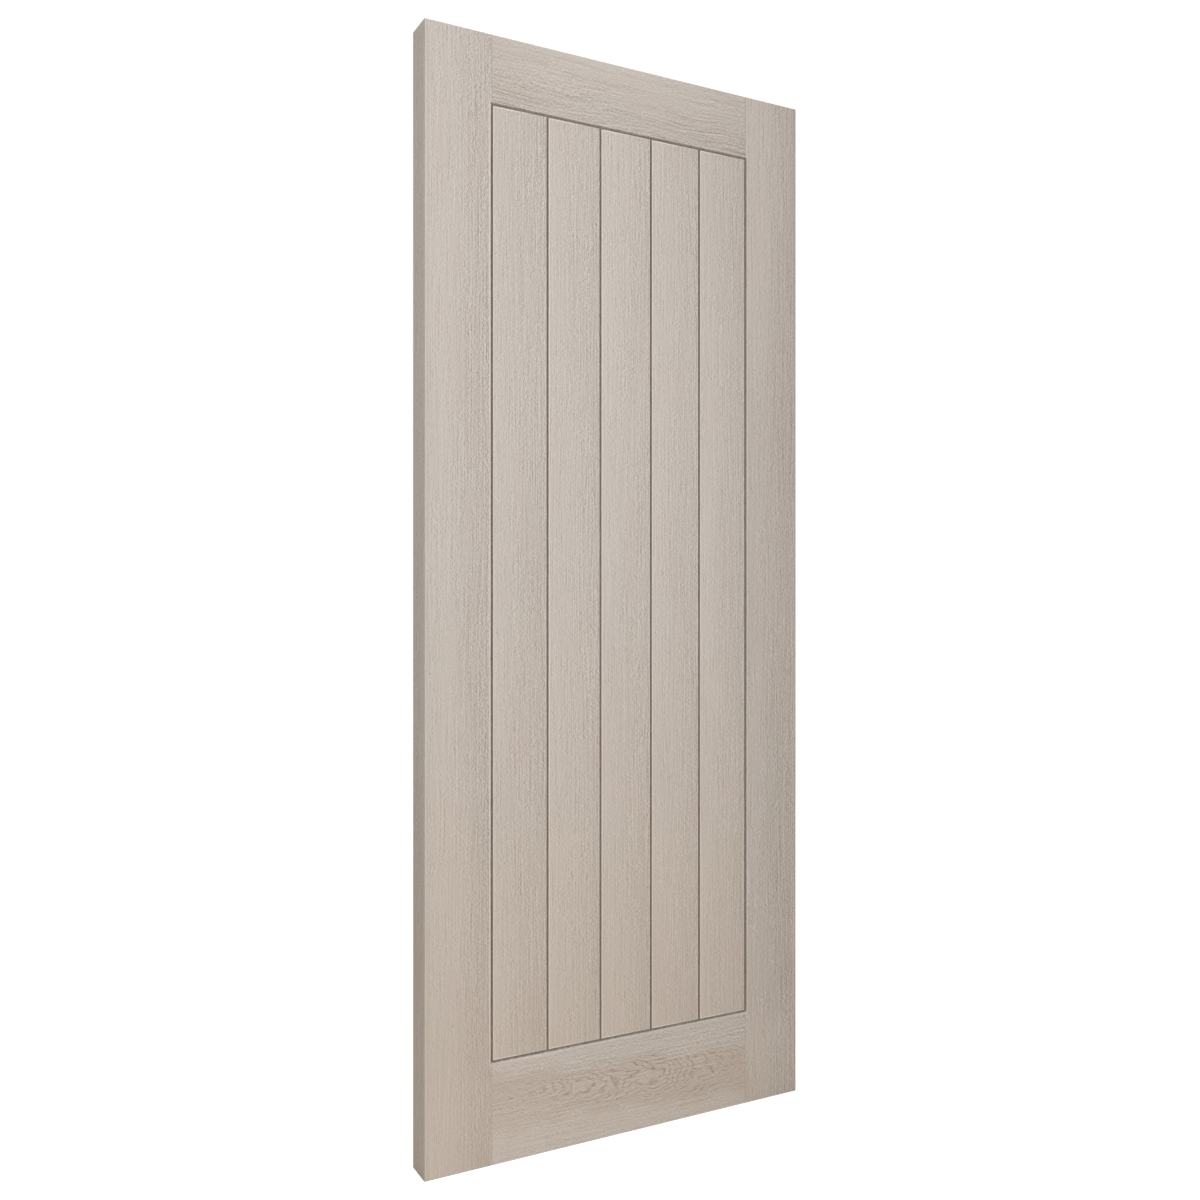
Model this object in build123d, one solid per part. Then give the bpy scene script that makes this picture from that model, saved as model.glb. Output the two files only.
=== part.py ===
"""Half-hour fire door leaf in washed oak, flush on both faces, with a V-grooved panel of upright boards.

The leaf is a core frame of stiles and rails round a solid panel core, closed on its two long edges by
full-thickness lippings. A facing on each side carries the stile and rail faces, and boards fill the panel.

Millimetres. The origin is at the foot of the hanging edge, at mid thickness.
X runs across the leaf to the closing edge, the front faces -Y, and Z is up.
"""

from build123d import *
import os

# Leaf
LEAF_WIDTH = 838.0
LEAF_HEIGHT = 1981.0
LEAF_THICKNESS = 44.0

# Framing as it shows on the face, from the leaf's edge to the panel
STILE_WIDTH = 132.0
TOP_RAIL_HEIGHT = 122.0
BOTTOM_RAIL_HEIGHT = 181.0

# Layers
FACING_THICKNESS = 9.0
LIPPING_WIDTH = 8.0

# Boarded panel: a tongue along one edge of each board enters the next board's groove
BOARD_COUNT = 5
TONGUE_LENGTH = 4.0
TONGUE_THICKNESS = 2.5
TONGUE_CLEARANCE = 0.2

# V-grooves: bevels of one depth that meet between boards, and between the boards and the framing
GROOVE_DEPTH = 2.5
BOARD_BEVEL_WIDTH = 2.8
FRAME_BEVEL_WIDTH = 4.0

# Eased edges
SHOULDER_EASE = 0.4
ARRIS_RADIUS = 1.0

# Places that follow from the sizes
FACE_DEPTH = LEAF_THICKNESS / 2
CORE_DEPTH = FACE_DEPTH - FACING_THICKNESS
PANEL_LEFT = STILE_WIDTH
PANEL_RIGHT = LEAF_WIDTH - STILE_WIDTH
PANEL_FOOT = BOTTOM_RAIL_HEIGHT
PANEL_HEAD = LEAF_HEIGHT - TOP_RAIL_HEIGHT
PANEL_WIDTH = PANEL_RIGHT - PANEL_LEFT
PANEL_HEIGHT = PANEL_HEAD - PANEL_FOOT
BOARD_WIDTH = PANEL_WIDTH / BOARD_COUNT


def slab(x_range, y_range, z_range):
    """A squared piece of timber between three pairs of planes."""
    (x0, x1), (y0, y1), (z0, z1) = x_range, y_range, z_range
    to_corner = (Align.MIN, Align.MIN, Align.MIN)
    return Pos(x0, y0, z0) * Box(x1 - x0, y1 - y0, z1 - z0, align=to_corner)


# Spans that the pieces share
FULL_HEIGHT = (0, LEAF_HEIGHT)
BOTTOM_RAIL_SPAN = (0, PANEL_FOOT)
PANEL_SPAN = (PANEL_FOOT, PANEL_HEAD)
TOP_RAIL_SPAN = (PANEL_HEAD, LEAF_HEIGHT)
HANGING_STILE_SPAN = (LIPPING_WIDTH, PANEL_LEFT)
BETWEEN_STILES = (PANEL_LEFT, PANEL_RIGHT)
CLOSING_STILE_SPAN = (PANEL_RIGHT, LEAF_WIDTH - LIPPING_WIDTH)
CORE_LAYER = (-CORE_DEPTH, CORE_DEPTH)
FRONT_LAYER = (-FACE_DEPTH, -CORE_DEPTH)
WHOLE_THICKNESS = (-FACE_DEPTH, FACE_DEPTH)


def core_frame():
    """Stile and rail cores with the panel core between them, all butted and glued."""
    return {
        "hanging_stile_core": slab(HANGING_STILE_SPAN, CORE_LAYER, FULL_HEIGHT),
        "closing_stile_core": slab(CLOSING_STILE_SPAN, CORE_LAYER, FULL_HEIGHT),
        "bottom_rail_core": slab(BETWEEN_STILES, CORE_LAYER, BOTTOM_RAIL_SPAN),
        "top_rail_core": slab(BETWEEN_STILES, CORE_LAYER, TOP_RAIL_SPAN),
        "panel_core": slab(BETWEEN_STILES, CORE_LAYER, PANEL_SPAN),
    }


def lipping(x_range, outward):
    """Solid oak edge strip over the leaf's whole thickness, its two outer arrises rounded."""
    strip = slab(x_range, WHOLE_THICKNESS, FULL_HEIGHT)
    edge_face = strip.faces().sort_by(outward)[-1]
    return fillet(edge_face.edges().filter_by(Axis.Z), ARRIS_RADIUS)


def panel_rectangle(depth, margin):
    """The panel's outline, grown by a margin, on the plane that lies this far in front of mid thickness."""
    plane = Plane.XZ.offset(depth)
    middle = Pos((PANEL_LEFT + PANEL_RIGHT) / 2, (PANEL_FOOT + PANEL_HEAD) / 2)
    return plane * middle * Rectangle(PANEL_WIDTH + 2 * margin, PANEL_HEIGHT + 2 * margin)


def front_facing():
    """Stile and rail faces of the front: one sheet with a splayed panel opening, parted at the shoulders."""
    across = (LIPPING_WIDTH, LEAF_WIDTH - LIPPING_WIDTH)
    sheet = slab(across, FRONT_LAYER, FULL_HEIGHT)
    splay = loft([
        panel_rectangle(FACE_DEPTH, FRAME_BEVEL_WIDTH),
        panel_rectangle(FACE_DEPTH - GROOVE_DEPTH, 0),
    ])
    sheet -= splay
    sheet -= slab(BETWEEN_STILES, FRONT_LAYER, PANEL_SPAN)
    faces = {
        "front_hanging_stile_face": sheet & slab(HANGING_STILE_SPAN, FRONT_LAYER, FULL_HEIGHT),
        "front_closing_stile_face": sheet & slab(CLOSING_STILE_SPAN, FRONT_LAYER, FULL_HEIGHT),
    }
    for name, span in (("bottom", BOTTOM_RAIL_SPAN), ("top", TOP_RAIL_SPAN)):
        rail = sheet & slab(BETWEEN_STILES, FRONT_LAYER, span)
        shoulders = rail.faces().sort_by(Axis.Y)[0].edges().filter_by(Axis.Z)
        faces[f"front_{name}_rail_face"] = chamfer(shoulders, SHOULDER_EASE)
    return faces


def tongue(x_shoulder, clearance):
    """Tongue that stands to the right of a board's shoulder, or with a clearance the groove that takes it."""
    square_edge = FACING_THICKNESS - GROOVE_DEPTH
    y_middle = -CORE_DEPTH - square_edge / 2
    half_thickness = TONGUE_THICKNESS / 2 + clearance
    x_range = (x_shoulder, x_shoulder + TONGUE_LENGTH + clearance)
    return slab(x_range, (y_middle - half_thickness, y_middle + half_thickness), PANEL_SPAN)


def front_boards():
    """Upright boards of the front panel, bevelled all round the face, tongued and grooved into each other."""
    boards = {}
    for number in range(1, BOARD_COUNT + 1):
        x_left = PANEL_LEFT + (number - 1) * BOARD_WIDTH
        x_right = x_left + BOARD_WIDTH
        board = slab((x_left, x_right), FRONT_LAYER, PANEL_SPAN)
        face = board.faces().sort_by(Axis.Y)[0]
        board = chamfer(face.edges(), BOARD_BEVEL_WIDTH, GROOVE_DEPTH, reference=face)
        if number > 1:
            board -= tongue(x_left, TONGUE_CLEARANCE)
        if number < BOARD_COUNT:
            board += tongue(x_right, 0)
        boards[f"front_board_{number}"] = board
    return boards


def back_of(front_pieces):
    """The same pieces on the back of the leaf, mirrored through its mid thickness."""
    return {
        name.replace("front_", "back_"): mirror(piece, about=Plane.XZ)
        for name, piece in front_pieces.items()
    }


pieces = core_frame()
pieces["hanging_lipping"] = lipping((0, LIPPING_WIDTH), -Axis.X)
pieces["closing_lipping"] = lipping((LEAF_WIDTH - LIPPING_WIDTH, LEAF_WIDTH), Axis.X)
front = front_facing() | front_boards()
pieces |= front
pieces |= back_of(front)

os.makedirs("parts", exist_ok=True)
for name, piece in pieces.items():
    export_step(piece, f"parts/{name}.step")
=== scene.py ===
import bmesh
import bpy
import math
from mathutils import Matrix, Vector


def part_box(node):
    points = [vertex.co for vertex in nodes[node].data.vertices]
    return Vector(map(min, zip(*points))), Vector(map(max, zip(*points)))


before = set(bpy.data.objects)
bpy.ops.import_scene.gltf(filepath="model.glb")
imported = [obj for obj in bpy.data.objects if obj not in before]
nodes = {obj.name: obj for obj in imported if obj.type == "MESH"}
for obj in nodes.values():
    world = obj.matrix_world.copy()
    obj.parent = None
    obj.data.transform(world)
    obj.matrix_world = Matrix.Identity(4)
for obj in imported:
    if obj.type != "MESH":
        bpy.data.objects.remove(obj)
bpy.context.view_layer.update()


# Core frame: a stile core up each long edge, a rail core at head and foot, and a solid core behind the
# boards. Bare sawn hardwood, butted and glued up. Once the leaf is faced and lipped, only its top and
# bottom edges still show the core. Sizes here and below are in millimetres.
MM = 1000.0
CORE_PALE = (0.56, 0.43, 0.29)
CORE_DEEP = (0.36, 0.25, 0.15)
CORE_RING = 4.2
CORE_WANDER = (60.0, 60.0, 500.0)
CORE_PORE = (0.8, 0.8, 14.0)
SAW_MARK = (1.2, 1.2, 9.0)
SAW_MARK_DEPTH = 0.4
WANDER = 14.0
HEART_ASIDE = 35.0
HEART_BEHIND = 48.0
NEXT_PLANK = 20.0
CELL_DEPTH = 0.35
DRY_SHEEN = 0.3


def add_node(tree, kind, **settings):
    node = tree.nodes.new("ShaderNode" + kind)
    for setting, value in settings.items():
        setattr(node, setting, value)
    return node


class Tone:
    """A number that varies over a piece: a socket of its material, worked on by plain arithmetic."""

    def __init__(self, socket):
        self.socket = socket
        self.tree = socket.id_data

    def math(self, operation, other=0.0):
        node = add_node(self.tree, "Math", operation=operation)
        self.tree.links.new(self.socket, node.inputs[0])
        if isinstance(other, Tone):
            self.tree.links.new(other.socket, node.inputs[1])
        else:
            node.inputs[1].default_value = other
        return Tone(node.outputs[0])

    def __add__(self, other):
        return self.math("ADD", other)

    def __sub__(self, other):
        return self.math("SUBTRACT", other)

    def __mul__(self, other):
        return self.math("MULTIPLY", other)

    def __truediv__(self, other):
        return self.math("DIVIDE", other)

    def size(self):
        return self.math("ABSOLUTE")

    def between(self, low, high):
        """0 up to low and 1 from high on, with a smooth rise from one to the other."""
        node = add_node(self.tree, "MapRange", interpolation_type="SMOOTHSTEP")
        self.tree.links.new(self.socket, node.inputs[0])
        node.inputs[1].default_value = low
        node.inputs[2].default_value = high
        return Tone(node.outputs[0])


def start_wood(node_name):
    """Gives a piece a material of its own, and returns a point's place on the leaf."""
    material = bpy.data.materials.new(node_name)
    material.use_nodes = True
    mesh = nodes[node_name].data
    mesh.materials.clear()
    mesh.materials.append(material)
    tree = material.node_tree
    apart = add_node(tree, "SeparateXYZ")
    tree.links.new(add_node(tree, "TexCoord").outputs["Object"], apart.inputs[0])
    return [Tone(socket) * MM for socket in apart.outputs]


def finish_wood(colour, roughness, relief, relief_depth):
    """Joins the colour, gloss and relief of a grain to the piece's shader, which is matt."""
    tree = colour.id_data
    shader = tree.nodes["Principled BSDF"]
    shader.inputs["Specular IOR Level"].default_value = DRY_SHEEN
    tree.links.new(colour, shader.inputs["Base Color"])
    tree.links.new(roughness.socket, shader.inputs["Roughness"])
    bump = add_node(tree, "Bump")
    bump.inputs["Strength"].default_value = 1.0
    bump.inputs["Distance"].default_value = relief_depth / MM
    tree.links.new(relief.socket, bump.inputs["Height"])
    tree.links.new(bump.outputs[0], shader.inputs["Normal"])


def vector_of(across, deep, along):
    """The place of a point in its plank, as one vector."""
    joined = add_node(across.tree, "CombineXYZ")
    for socket, tone in zip(joined.inputs, (across, deep, along)):
        across.tree.links.new(tone.socket, socket)
    return Tone(joined.outputs[0])


def streaks(point, size, seed, detail=2.0, shift=0.0):
    """Noise whose cells measure size across, deep and along the grain, moved across by a shift.

    Such noise fades out at the faces of its cells, so a surface always lies at the same depth in them.
    """
    deep_start = math.floor(2.3 * seed) + CELL_DEPTH
    scaled = add_node(point.tree, "VectorMath", operation="MULTIPLY_ADD")
    point.tree.links.new(point.socket, scaled.inputs[0])
    scaled.inputs[1].default_value = [1.0 / side for side in size]
    scaled.inputs[2].default_value = (seed + shift / size[0], deep_start, 3.7 * seed)
    noise = add_node(point.tree, "TexNoise")
    noise.inputs["Scale"].default_value = 1.0
    noise.inputs["Detail"].default_value = detail
    point.tree.links.new(scaled.outputs[0], noise.inputs["Vector"])
    return Tone(noise.outputs[0])


def tint(amount, plain, full):
    """A colour between two: the first where the amount is 0 and the second where it is 1."""
    mix = add_node(amount.tree, "Mix", data_type="RGBA")
    amount.tree.links.new(amount.socket, mix.inputs[0])
    for place, colour in ((6, plain), (7, full)):
        if isinstance(colour, tuple):
            mix.inputs[place].default_value = (*colour, 1.0)
        else:
            amount.tree.links.new(colour, mix.inputs[place])
    return mix.outputs[2]


def radius_of(across, deep):
    """A point's distance from the heart of the log."""
    return (across * across + deep * deep).math("SQRT")


def middle_of(node_name):
    low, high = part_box(node_name)
    return (low + high) * (MM / 2)


for order, (node_name, level) in enumerate((
    ("hanging_stile_core", False),
    ("closing_stile_core", False),
    ("bottom_rail_core", True),
    ("top_rail_core", True),
    ("panel_core", False),
)):
    x, y, z = start_wood(node_name)
    middle = middle_of(node_name)
    across, along = (z - middle.z, x) if level else (x - middle.x, z)
    point = vector_of(across, y, along)
    wander = (streaks(point, CORE_WANDER, order + 1.0) - 0.5) * WANDER
    from_heart = across + wander - HEART_ASIDE + NEXT_PLANK * order
    ring = (radius_of(from_heart, y - HEART_BEHIND) / CORE_RING).math("FRACT")
    pores = streaks(point, CORE_PORE, order + 5.0).between(0.45, 0.75)
    saw_marks = streaks(point, SAW_MARK, order + 9.0)
    colour = tint(ring * 0.5 + pores * 0.35, CORE_PALE, CORE_DEEP)
    finish_wood(colour, saw_marks * 0.2 + 0.65, saw_marks, SAW_MARK_DEPTH)


# Stile faces: full-height oak facings glued over the stile cores on both sides of the leaf, under a pale
# wash that fills the grain. Their inner edges are planed off at a slope, which is the outer half of the
# V-groove round the panel. The closing stile is browner than the hanging one, and carries painted shade:
# paler at its head and darker down towards its foot.
OAK_PALE = (0.668, 0.609, 0.556)
OAK_DEEP = (0.307, 0.253, 0.213)
# Painted shade: the dark colour laid into the V-grooves.
PAINTED_GROOVE_SHADE = (0.170, 0.135, 0.108)
# Painted highlight: the pale colour on the strips beside the arrises.
PAINTED_ARRIS_HIGHLIGHT = (0.880, 0.820, 0.765)
# Painted shade: a darker, warmer cast towards the foot.
FOOT_PAINTED_SHADE = (0.955, 0.915, 0.875)
BLUSH_CAST = (0.995, 0.976, 0.976)
HEART_CAST = (0.990, 0.976, 0.962)
WHITE = (1.0, 1.0, 1.0)
DASH = (2.1, 2.1, 3.4)
ROW_STEP = 5.37
LIT_SIDE = 0.5
LINE = (2.2, 2.2, 110.0)
FURROW = 2.9
PORE = (2.4, 2.4, 20.0)
OPEN_PATCH = (16.0, 16.0, 55.0)
# Patches that make the painted shade in the grooves uneven.
GROOVE_SHADE_PATCH = (8.0, 8.0, 6.0)
CLOUD = (60.0, 60.0, 330.0)
BLUSH = (45.0, 45.0, 190.0)
PLANK_WANDER = (60.0, 60.0, 420.0)
DASH_SHARE = 1.15
LINE_SHARE = 0.50
PORE_SHARE = 0.06
CLOUD_SHARE = 0.16
LEAN_SHARE = 0.095
PLAIN_TONE = 0.208
GRAIN_DEPTH = 0.22
FACE_DEPTH = 22.0
FRAME_BEVEL = 4.0
# Width of the painted highlight beside an arris.
ARRIS_HIGHLIGHT_WIDTH = 2.3
# Painted shade of the closing side: it darkens the closing stile downwards and the closing lipping
# throughout.
CLOSING_PAINTED_SHADE = 0.16
SIDES = (("front", 0.0), ("back", 4.4))
panel_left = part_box("front_hanging_stile_face")[1].x * MM
panel_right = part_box("front_closing_stile_face")[0].x * MM
panel_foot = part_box("front_bottom_rail_face")[1].z * MM
panel_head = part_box("front_top_rail_face")[0].z * MM
panel_middle_x = (panel_left + panel_right) / 2
panel_middle_z = (panel_foot + panel_head) / 2
panel_half_width = (panel_right - panel_left) / 2
panel_half_height = (panel_head - panel_foot) / 2


def product(colour, cast):
    """A colour multiplied by a cast."""
    mix = add_node(colour.id_data, "Mix", data_type="RGBA", blend_type="MULTIPLY")
    mix.inputs[0].default_value = 1.0
    colour.id_data.links.new(colour, mix.inputs[6])
    colour.id_data.links.new(cast, mix.inputs[7])
    return mix.outputs[2]


def furrows(point, size, seed):
    """Streaks of grain, each with painted shade on one side and a painted highlight on the other, as under
    a light from one side.
    """
    return streaks(point, size, seed, 1.0) - streaks(point, size, seed, 1.0, FURROW)


def dashes(point, size, seed):
    """Straight dashes along the grain in rows that blend softly, each a little lit on its far side."""
    apart = add_node(point.tree, "SeparateXYZ")
    point.tree.links.new(point.socket, apart.inputs[0])
    across, deep, along = [Tone(socket) for socket in apart.outputs]
    row = across / size[0] + seed
    first, second, third = [
        streaks(vector_of((row.math("FLOOR") + step) * ROW_STEP, deep, along), (1.0, *size[1:]), seed, 1.0)
        for step in (0.0, 1.0, 2.0)
    ]
    near = first - second * LIT_SIDE
    far = second - third * LIT_SIDE
    return near + (far - near) * row.math("FRACT").between(0.0, 1.0) - 0.5 * (1.0 - LIT_SIDE)


def washed_oak(point, lean, height, seed, tone=0.0, figure=None, heart=None, joint=None):
    """Oak under a pale wash: short dashes, long fine lines and dark pores, plainer in some patches.

    The lean darkens and opens the grain to one side, and the grain is plainer at a low height, where
    painted shade makes the colour darker and warmer. A figure is added to the grain, a heart is browner,
    and a joint gives painted shade in its groove and a painted highlight beside its arris.
    """
    openness = streaks(point, OPEN_PATCH, seed + 5.0).between(0.36, 0.62) * 0.6 + lean * 0.3 + 0.7
    openness = openness * (height.between(100.0, 700.0) * 0.25 + 0.75)
    flecks = dashes(point, DASH, seed + 3.0) * openness
    lines = furrows(point, LINE, seed + 7.0) * openness
    pores = streaks(point, PORE, seed + 9.0, 0.0).between(0.62, 0.76) * openness
    clouds = streaks(point, CLOUD, seed + 11.0) - 0.5
    blush = streaks(point, BLUSH, seed + 13.0).between(0.46, 0.66)
    grain = flecks * DASH_SHARE + lines * LINE_SHARE + pores * PORE_SHARE
    darkness = grain + clouds * CLOUD_SHARE + lean * LEAN_SHARE + PLAIN_TONE + tone
    if figure:
        darkness = darkness + figure
    colour = tint(darkness, OAK_PALE, OAK_DEEP)
    if joint:
        groove_shade, arris_highlight = joint
        # Painted highlight on the strip beside the arris.
        colour = tint(arris_highlight, colour, PAINTED_ARRIS_HIGHLIGHT)
        # Painted shade in the groove, uneven in patches.
        evenness = streaks(point, GROOVE_SHADE_PATCH, seed + 17.0).between(0.30, 0.60) * 0.22 + 0.83
        colour = tint(groove_shade * evenness, colour, PAINTED_GROOVE_SHADE)
    # Painted shade: darker and warmer towards the foot.
    colour = product(colour, tint(height.between(1100.0, 150.0), WHITE, FOOT_PAINTED_SHADE))
    colour = product(colour, tint(blush, WHITE, BLUSH_CAST))
    if heart:
        colour = product(colour, tint(heart, WHITE, HEART_CAST))
    finish_wood(colour, flecks * 0.12 + 0.58, grain * -1.0, GRAIN_DEPTH)


def wandering(across, deep, along, seed):
    """A point's place across its plank, whose grain wanders a little along its length."""
    return across + (streaks(vector_of(across, deep, along), PLANK_WANDER, seed) - 0.5) * WANDER


def depth_into(y):
    """How far a point lies behind the nearer face of the leaf."""
    return y.size() * -1.0 + FACE_DEPTH


def joint_marks(x, z, middle_x, middle_z, half_width, half_height, bevel):
    """Where a point lies in the V-groove along a joint, and on the strip beside its arris."""
    beside = (x - middle_x).size() - half_width
    above = (z - middle_z).size() - half_height
    from_joint = beside.math("MAXIMUM", above).size()
    groove = from_joint.between(bevel, 0.3 * bevel)
    on_bevel = from_joint.between(bevel + 0.3, bevel - 0.2)
    arris = from_joint.between(bevel + ARRIS_HIGHLIGHT_WIDTH, bevel + 0.5) - on_bevel
    return groove, arris


def frame_joint(x, z, groove_shade, arris_highlight):
    """The painted shade in the groove round the panel, and the painted highlight beside the framing's
    arris.
    """
    groove, arris = joint_marks(
        x, z, panel_middle_x, panel_middle_z, panel_half_width, panel_half_height, FRAME_BEVEL,
    )
    return groove * groove_shade, arris * arris_highlight


for side, side_seed in SIDES:
    for edge, edge_seed, tone, brown, cast_drop, groove_shade, fineness, leaning, foot_painted_light in (
        ("hanging", 21.0, 0.0, 0.0, 0.0, 0.42, 1.0, 2.0, 0.06),
        ("closing", 29.0, CLOSING_PAINTED_SHADE, 0.8, 480.0, 0.70, 0.9, 1.4, 0.115),
    ):
        node_name = f"{side}_{edge}_stile_face"
        x, y, z = start_wood(node_name)
        seed = edge_seed + side_seed
        across = x - middle_of(node_name).x
        # Painted shade: on the closing stile the tone darkens the face downwards from a paler head.
        upper = z.between(1300.0, 1900.0) * 0.35
        downwards = z.between(2050.0, 300.0) + z.between(1000.0, 200.0) * 0.35 - upper
        # Painted light: foot_painted_light makes the lowest part of each stile paler, offsetting the
        # floor's shade.
        washed_oak(
            vector_of(wandering(across, y, z, seed) * fineness, depth_into(y), z * fineness),
            (across.between(-35.0, 60.0) - 0.37) * leaning, z + cast_drop, seed,
            downwards * tone - z.between(220.0, 110.0) * foot_painted_light,
            heart=z.between(500.0, 1300.0) * brown, joint=frame_joint(x, z, groove_shade, 0.60),
        )


# Top rail faces: oak facings glued level over the top rail core, butted between the stile faces.
# The grain waves along the rail, most in its lower half, which is browner near the middle of the leaf.
# The lower edge is planed off at the same slope as the stiles' inner edges.
TOP_RAIL_TONE = 0.105
TOP_RAIL_SWAY = (110.0, 110.0, 200.0)
WAVE = (3.4, 3.4, 120.0)
BROWN_PATCH = (40.0, 40.0, 120.0)

for side, side_seed in SIDES:
    node_name = f"{side}_top_rail_face"
    x, y, z = start_wood(node_name)
    low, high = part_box(node_name)
    half_height = (high.z - low.z) * (MM / 2)
    seed = 41.0 + side_seed
    across = z - middle_of(node_name).z
    depth = depth_into(y)
    sway = (streaks(vector_of(across, depth, x), TOP_RAIL_SWAY, seed) - 0.5) * 36.0
    point = vector_of(across + sway, depth, x)
    low_half = across.between(20.0, -40.0)
    waves = streaks(point, WAVE, seed + 1.0, 1.0).between(0.56, 0.70)
    ragged = (streaks(point, BROWN_PATCH, seed + 2.0) - 0.5) * 50.0
    brown = (across + ragged).between(-12.0, -40.0)
    brown = brown * x.between(panel_middle_x - 60.0, panel_middle_x + 120.0) * 0.5 + 0.6
    washed_oak(
        point, across / (-0.86 * half_height), z, seed, TOP_RAIL_TONE,
        waves * (low_half * 0.18 + 0.10) - 0.03, brown, frame_joint(x, z, 0.58, 0.40),
    )


# Bottom rail faces: wider oak facings at the foot, glued and butted in the same way as the top rail's.
# They are sawn through the heart of the log, so along the middle the grain runs in browner, nested,
# ragged arches, which point to the hanging side and open out towards the closing side.
RAIL_RING = 4.5
HEART_SWAY = (34.0, 34.0, 110.0)
HEART_SWELL = (120.0, 120.0, 70.0)
HEART_EDGE = (20.0, 20.0, 60.0)
HEART_CLIMB = 0.06
HEART_DIVE = 0.16
RAGGED_FINE = (4.5, 4.5, 28.0)
RAGGED_WIDE = (22.0, 22.0, 50.0)
ARCH_BREAK = (1.8, 1.8, 8.0)
ISLAND_PLACE = 370.0
ISLAND_REACH = 65.0
ISLAND_RISE = 10.0

for side, side_seed in SIDES:
    node_name = f"{side}_bottom_rail_face"
    x, y, z = start_wood(node_name)
    seed = 49.0 + side_seed
    across = z - middle_of(node_name).z
    along = x - panel_left
    from_middle = x - panel_middle_x
    point = vector_of(across, depth_into(y), x)
    sway = (streaks(point, HEART_SWAY, seed) - 0.5) * 34.0
    from_heart = across + from_middle * HEART_CLIMB + sway - 8.0
    ragged = (streaks(point, RAGGED_FINE, seed + 1.0, 1.0) - 0.5) * 4.5
    ragged = ragged + (streaks(point, RAGGED_WIDE, seed + 7.0) - 0.5) * 12.0
    island = (along - ISLAND_PLACE).size().between(ISLAND_REACH, 0.0) * ISLAND_RISE
    swell = (streaks(point, HEART_SWELL, seed + 2.0) - 0.5) * 16.0
    heart_depth = along * HEART_DIVE + swell - island + 12.0
    radius = radius_of(from_heart * 1.25, heart_depth)
    crest = (heart_depth / radius).between(0.50, 0.95)
    heart_edge = (streaks(point, HEART_EDGE, seed + 5.0) - 0.5) * 40.0
    heart = ((from_heart + 10.0).size() + heart_edge).between(58.0, 26.0)
    breaks = streaks(point, ARCH_BREAK, seed + 4.0, 1.0).between(0.36, 0.60)
    arches = ((radius + ragged) / RAIL_RING).math("FRACT").between(0.45, 0.05) * (breaks * 0.6 + 0.4)
    from_end = from_middle.size().between(300.0, 120.0)
    upper = across.between(0.0, 30.0) * x.between(panel_middle_x - 100.0, panel_middle_x + 60.0)
    strength = heart * (crest * 0.29 + 0.19) * (from_end * 0.75 + 0.25) + upper * 0.12 + 0.03
    # Painted shade: the rail darkens towards the closing side.
    washed_oak(
        point, across / 400.0, z - heart * 420.0 + across * 1.2 + 520.0, seed,
        along * 0.00031 + across * 0.0007 - 0.105, (arches - 0.1) * strength + heart * 0.05, heart,
        frame_joint(x, z, 1.00, 0.33),
    )


# Panel boards: five upright oak boards a side, tongued into each other and bedded on the panel core.
# Every face edge is bevelled, so that two boards, or a board and the framing, make a V-groove where they
# meet. Painted shade darkens the grooves, and a painted highlight lightens the strips beside the arrises.
BOARD_COUNT = 5
BOARD_BEVEL = 2.8
board_width = (panel_right - panel_left) / BOARD_COUNT

for side, side_seed in SIDES:
    for number in range(1, BOARD_COUNT + 1):
        x, y, z = start_wood(f"{side}_board_{number}")
        seed = 60.0 + 5.0 * number + side_seed
        board_middle = panel_left + (number - 0.5) * board_width
        across = x - board_middle
        groove, arris = joint_marks(
            x, z, board_middle, panel_middle_z, board_width / 2, panel_half_height, BOARD_BEVEL,
        )
        hanging_half = across.between(30.0, -30.0)
        # Painted shade in the grooves, stronger on the hanging half of each board.
        groove_shade = groove * (hanging_half * 0.24 + 0.42)
        # Painted highlight beside the arrises, stronger on the hanging half of each board.
        arris_highlight = arris * (hanging_half * 0.75 + 0.15)
        point = vector_of(wandering(across, y, z, seed), depth_into(y), z)
        # Painted shade: the boards darken towards the foot, more the nearer they stand to the closing
        # edge. They are also a little darker towards their heads.
        washed_oak(
            point, across / (0.5 * board_width), z, seed,
            z.between(700.0, 150.0) * (0.012 * (number - 1)) + z.between(1250.0, 1700.0) * 0.045,
            joint=(groove_shade, arris_highlight),
        )


# Lippings: solid oak strips glued along the two long edges over the leaf's whole thickness, so that they
# cover the edges of core and facings. Planed, their outer arrises rounded over, and washed like the faces.
# A painted highlight lightens the hanging edge's arrises, and the closing edge is darker along its
# arrises.
LEAF_WIDTH = 838.0
ARRIS_INNER = 1.2
ARRIS_OUTER = 4.0

for node_name, outer_x, tone, arris_tone in (
    ("hanging_lipping", 0.0, 0.0, -0.35),
    ("closing_lipping", LEAF_WIDTH, CLOSING_PAINTED_SHADE, 0.45),
):
    x, y, z = start_wood(node_name)
    from_edge = x - outer_x
    # arris_tone paints a highlight along the hanging lipping's arrises and darkens the closing lipping's.
    from_arris = from_edge.size().math("MAXIMUM", depth_into(y))
    washed_oak(
        vector_of(y, from_edge, z), y / (3.0 * FACE_DEPTH), z, 11.0 + outer_x / 100.0,
        from_arris.between(ARRIS_OUTER, ARRIS_INNER) * arris_tone + tone,
    )


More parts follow.
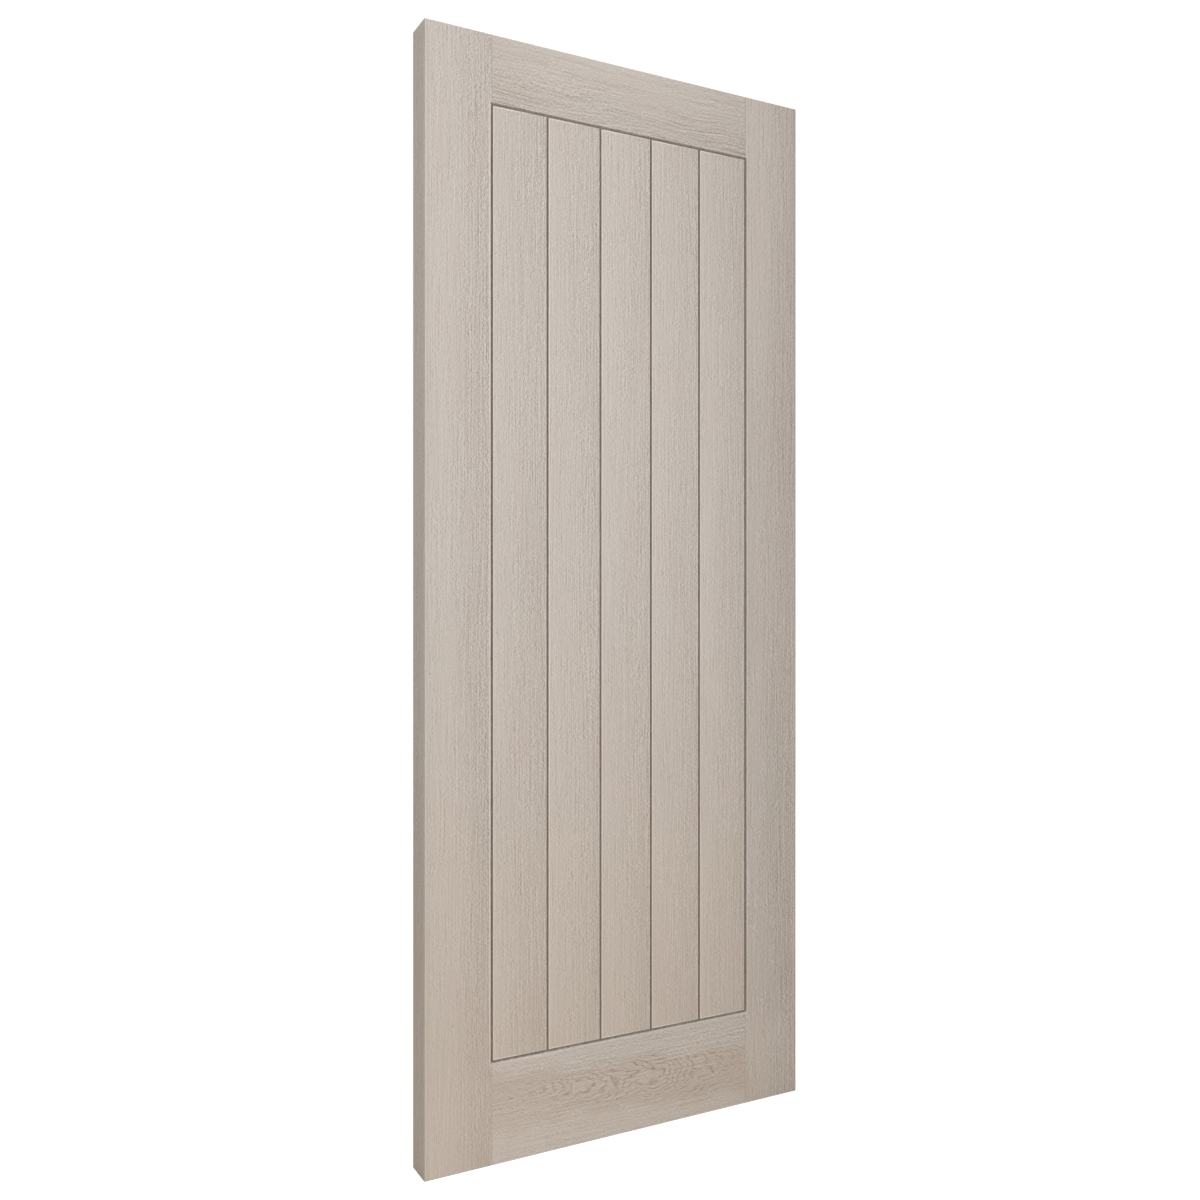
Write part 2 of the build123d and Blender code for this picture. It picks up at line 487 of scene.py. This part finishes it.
# Floor: a wide pale sheet under the leaf's foot, plain and matt. It glows to the camera alone, so that it
# runs into the white behind it without a line and throws no extra light on the leaf.
FLOOR_HALF_SIDE = 60.0
FLOOR_COLOUR = (0.50, 0.47, 0.42, 1.0)
FLOOR_GLOW = 0.78
floor_mesh = bpy.data.meshes.new("floor")
shape = bmesh.new()
bmesh.ops.create_grid(shape, x_segments=1, y_segments=1, size=FLOOR_HALF_SIDE)
shape.to_mesh(floor_mesh)
shape.free()
floor = bpy.data.objects.new("floor", floor_mesh)
bpy.context.scene.collection.objects.link(floor)
floor_material = bpy.data.materials.new("floor")
floor_material.use_nodes = True
floor_tree = floor_material.node_tree
floor_shader = floor_tree.nodes["Principled BSDF"]
floor_shader.inputs["Base Color"].default_value = FLOOR_COLOUR
floor_shader.inputs["Roughness"].default_value = 0.9
floor_shader.inputs["Specular IOR Level"].default_value = 0.0
floor_shader.inputs["Emission Color"].default_value = (*WHITE, 1.0)
floor_path = add_node(floor_tree, "LightPath")
floor_glow = Tone(floor_path.outputs["Is Camera Ray"]) * FLOOR_GLOW
floor_tree.links.new(floor_glow.socket, floor_shader.inputs["Emission Strength"])
floor_mesh.materials.append(floor_material)


# Light: an even white studio, which the camera sees as plain white, and three soft lamps. A tall strip at
# the upper right has a narrow beam, aimed at the hanging side, so it falls off towards the closing edge.
# The second lamp lights the hanging edge, and the third the back. Places and sizes are in metres.
STUDIO_STRENGTH = 0.59
SEEN_STRENGTH = 1.05
STRIP_SPREAD = math.radians(44.0)
OPEN_SPREAD = math.pi

world = bpy.data.worlds.new("studio")
bpy.context.scene.world = world
world.use_nodes = True
studio = world.node_tree
lit = studio.nodes["Background"]
lit.inputs["Color"].default_value = (*WHITE, 1.0)
lit.inputs["Strength"].default_value = STUDIO_STRENGTH
seen = add_node(studio, "Background")
seen.inputs["Color"].default_value = (*WHITE, 1.0)
seen.inputs["Strength"].default_value = SEEN_STRENGTH
either = add_node(studio, "MixShader")
studio.links.new(add_node(studio, "LightPath").outputs["Is Camera Ray"], either.inputs[0])
studio.links.new(lit.outputs[0], either.inputs[1])
studio.links.new(seen.outputs[0], either.inputs[2])
studio.links.new(either.outputs[0], studio.nodes["World Output"].inputs["Surface"])

for name, place, aim, width, height, power, spread in (
    ("strip_lamp", Vector((2.40, -1.60, 2.15)), Vector((-0.42, 0.0, 0.92)), 0.5, 3.4, 12.0, STRIP_SPREAD),
    ("edge_lamp", Vector((-2.6, 1.7, 2.6)), Vector((0.0, 0.0, 1.2)), 1.6, 1.6, 19.0, OPEN_SPREAD),
    ("back_lamp", Vector((1.7, 2.6, 2.0)), Vector((0.42, 0.0, 1.0)), 1.6, 2.2, 30.0, OPEN_SPREAD),
):
    lamp = bpy.data.lights.new(name, "AREA")
    lamp.shape = "RECTANGLE"
    lamp.size = width
    lamp.size_y = height
    lamp.spread = spread
    lamp.energy = power
    stand = bpy.data.objects.new(name, lamp)
    stand.location = place
    stand.rotation_euler = (aim - place).to_track_quat("-Z", "Y").to_euler()
    bpy.context.scene.collection.objects.link(stand)
bpy.context.scene.view_settings.view_transform = "Standard"


# Camera: level, at mid height of the leaf, 1.4 m in front of it and 0.7 m to the left of its hanging edge.
# It is turned a little to the right, and the lens is shifted so that the leaf stands where the photograph
# has it.
CAMERA_PLACE = (-0.720, -1.4115, 0.9905)
CAMERA_TURN = math.radians(-20.26)
LENS_LENGTH = 27.375
LENS_SHIFT = 0.2414
lens = bpy.data.cameras.new("camera")
lens.lens = LENS_LENGTH
lens.sensor_width = 36.0
lens.shift_x = LENS_SHIFT
camera = bpy.data.objects.new("camera", lens)
camera.location = CAMERA_PLACE
camera.rotation_euler = (math.radians(90.0), 0.0, CAMERA_TURN)
bpy.context.scene.collection.objects.link(camera)
bpy.context.scene.camera = camera
